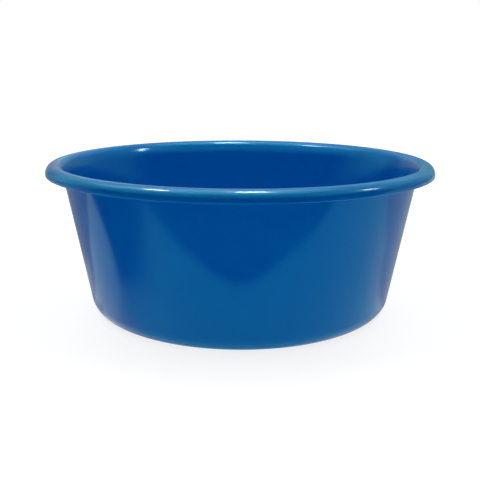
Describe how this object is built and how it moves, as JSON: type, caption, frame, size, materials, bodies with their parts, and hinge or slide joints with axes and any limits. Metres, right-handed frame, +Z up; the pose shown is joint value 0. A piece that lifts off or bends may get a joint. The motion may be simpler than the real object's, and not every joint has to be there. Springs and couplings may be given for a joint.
{
  "type": "feed bucket",
  "caption": "Shallow round feed bucket with a leaning wall, a rounded heel and a flared, half-round rolled rim, to hold horse feed or water on the floor.",
  "frame": {"origin": "middle of the base, on the floor", "axes": "+Z up along the bucket's own axis; it is round, so X and Y may point anywhere"},
  "size_m": [0.38, 0.38, 0.15],
  "materials": {
    "blue_polyethylene": "gloss, as moulded"
  },
  "bodies": {
    "root": {"base": "blue_polyethylene", "heel": "blue_polyethylene", "side_wall": "blue_polyethylene", "rolled_rim": "blue_polyethylene"}
  },
  "joints": []
}
